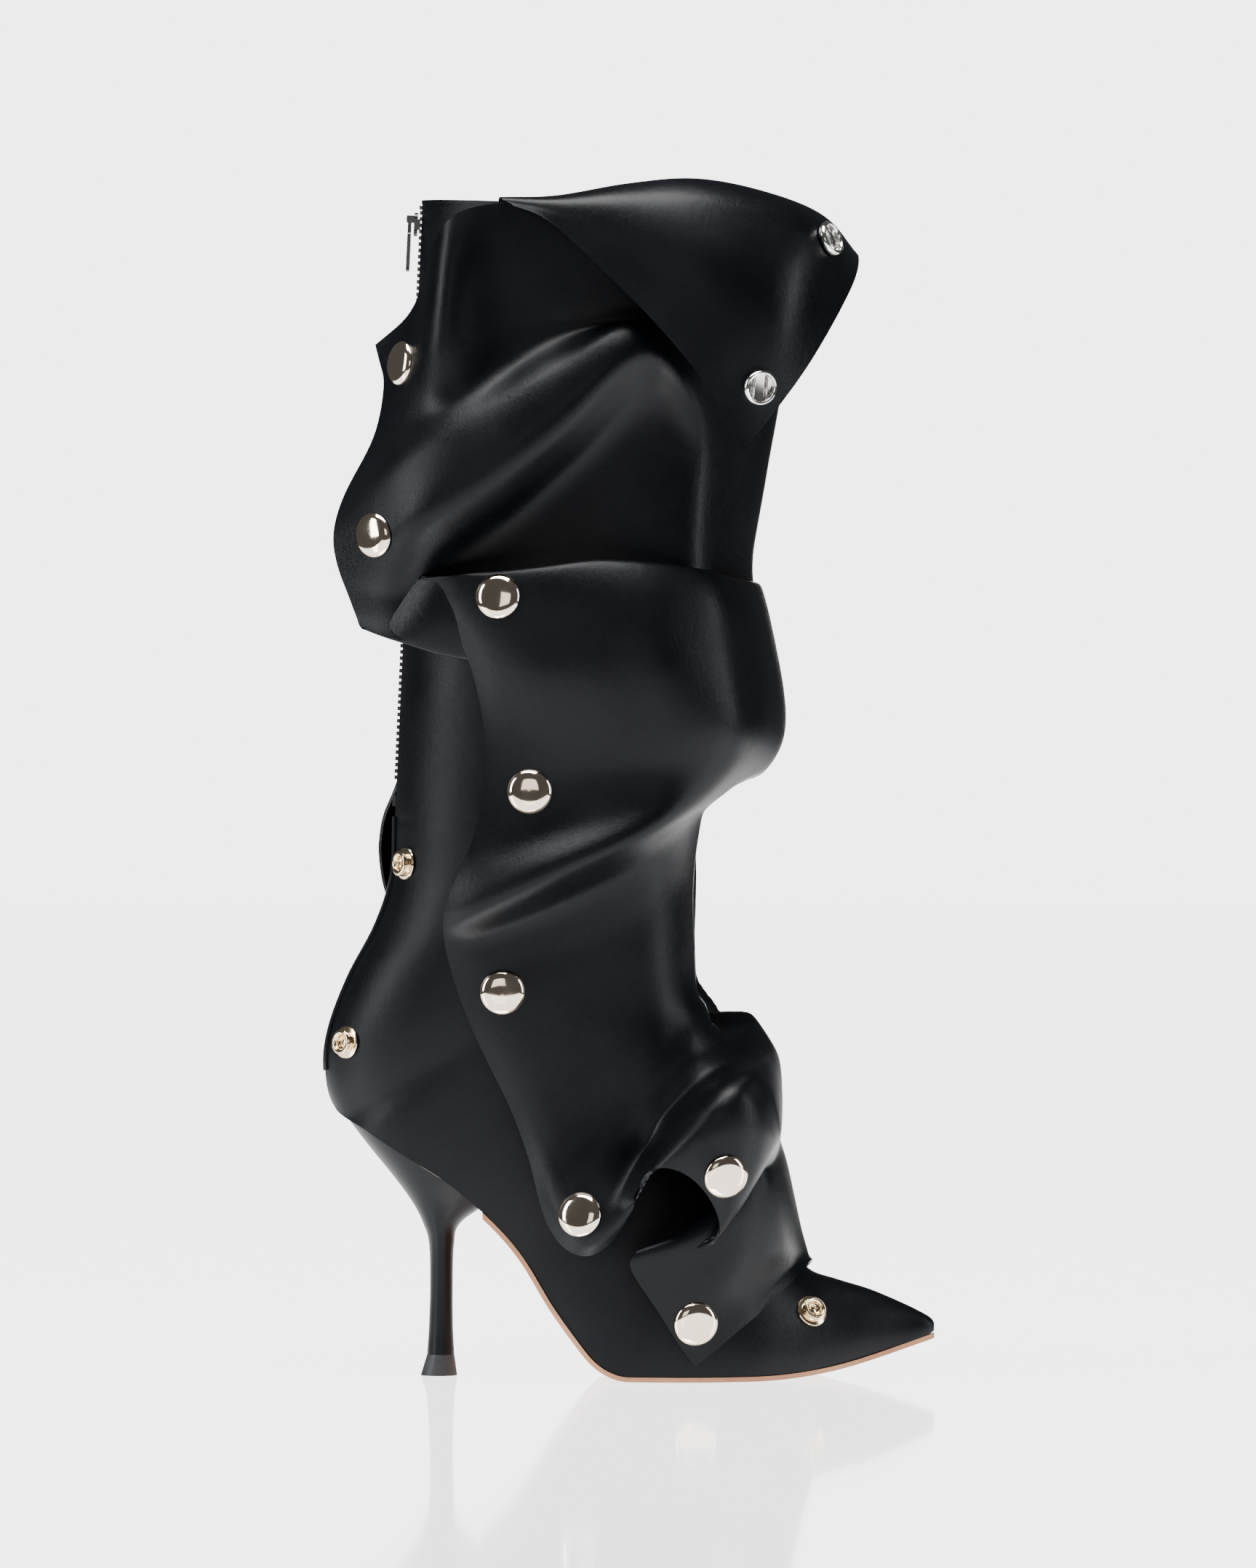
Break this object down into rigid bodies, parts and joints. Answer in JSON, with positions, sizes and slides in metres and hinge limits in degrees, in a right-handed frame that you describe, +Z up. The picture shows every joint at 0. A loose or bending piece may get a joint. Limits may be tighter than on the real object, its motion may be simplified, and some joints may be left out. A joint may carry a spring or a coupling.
{
  "type": "tall stiletto boot",
  "caption": "Tall black leather boot with a pointed toe, slim high heel, back zip and a leather panel draped and snapped around the leg.",
  "frame": {"origin": "centre of the heel tip's ground face", "axes": "+Z up the leg, +X towards the toe, -Y to the outer (lateral) side, where the panel's folds and studs show"},
  "size_m": [0.2342, 0.1275, 0.454],
  "materials": {
    "sole_leather": "natural tan leather, waxed edge",
    "cork": "cork filler",
    "steel": "plain steel",
    "board": "pressed fibre board",
    "lining_leather": "soft black lining leather",
    "heel_plastic": "moulded heel core",
    "black_leather": "smooth black calf, satin sheen",
    "panel_leather": "smooth black calf, satin sheen",
    "tip_rubber": "hard black rubber",
    "stiffener": "impregnated cloth",
    "zip_tape": "woven black tape",
    "zip_metal": "glossy black enamel",
    "pale_gold": "polished pale gold plating",
    "warm_gold": "polished warm gold plating",
    "silver": "polished silver plating"
  },
  "bodies": {
    "boot": {"outsole": "sole_leather", "sole_filler": "cork", "shank": "steel", "insole_board": "board", "sock_lining": "lining_leather", "heel_block": "heel_plastic", "heel_cover": "black_leather", "heel_tip": "tip_rubber", "heel_tip_pin": "steel", "heel_rod": "steel", "heel_screw": "steel", "heel_nails": "steel", "toe_puff": "stiffener", "heel_counter": "stiffener", "vamp": "black_leather", "quarter_lateral": "black_leather", "quarter_medial": "black_leather", "shaft_lateral": "black_leather", "shaft_medial": "black_leather", "shaft_lining": "lining_leather", "quarter_lining_lateral": "lining_leather", "quarter_lining_medial": "lining_leather", "vamp_lining": "lining_leather", "top_binding": "black_leather", "backstay": "black_leather", "zip_tape": "zip_tape", "zip_teeth": "zip_metal", "zip_stops": "zip_metal", "boot_studs_lateral": "warm_gold", "boot_studs_medial": "warm_gold", "panel_front": "panel_leather", "panel_tail": "panel_leather", "panel_top_edge": "panel_leather", "front_caps": "pale_gold", "front_sockets": "silver", "collar_front": "panel_leather", "collar_caps": "pale_gold", "collar_sockets": "silver", "collar_socket_springs": "steel"},
    "zip_slider": {"zip_slider": "zip_metal"},
    "zip_pull": {"zip_pull": "zip_metal"},
    "flap_lateral": {"panel_flap_lateral_lower": "panel_leather", "panel_flap_lateral_upper": "panel_leather", "collar_rear": "panel_leather", "flap_lateral_caps": "pale_gold", "flap_lateral_sockets": "silver"},
    "flap_medial": {"panel_flap_medial": "panel_leather", "flap_medial_caps": "pale_gold", "flap_medial_sockets": "silver"}
  },
  "joints": [
    {"name": "zip_slide", "type": "slide", "parent": "boot", "child": "zip_slider", "axis": [-0.0456, 0, -0.999], "range_m": [0, 0.205]},
    {"name": "zip_pull_swing", "type": "hinge", "parent": "zip_slider", "child": "zip_pull", "pos_m": [-0.01097, 0, 0.4424], "axis": [0, 1, 0], "range_deg": [0, 150]},
    {"name": "lateral_flap_open", "type": "hinge", "parent": "boot", "child": "flap_lateral", "pos_m": [0.088, -0.067, 0.25], "axis": [0, 0, 1], "range_deg": [0, 35]},
    {"name": "medial_flap_open", "type": "hinge", "parent": "boot", "child": "flap_medial", "pos_m": [0.088, 0.06, 0.25], "axis": [0, 0, -1], "range_deg": [0, 35]}
  ]
}
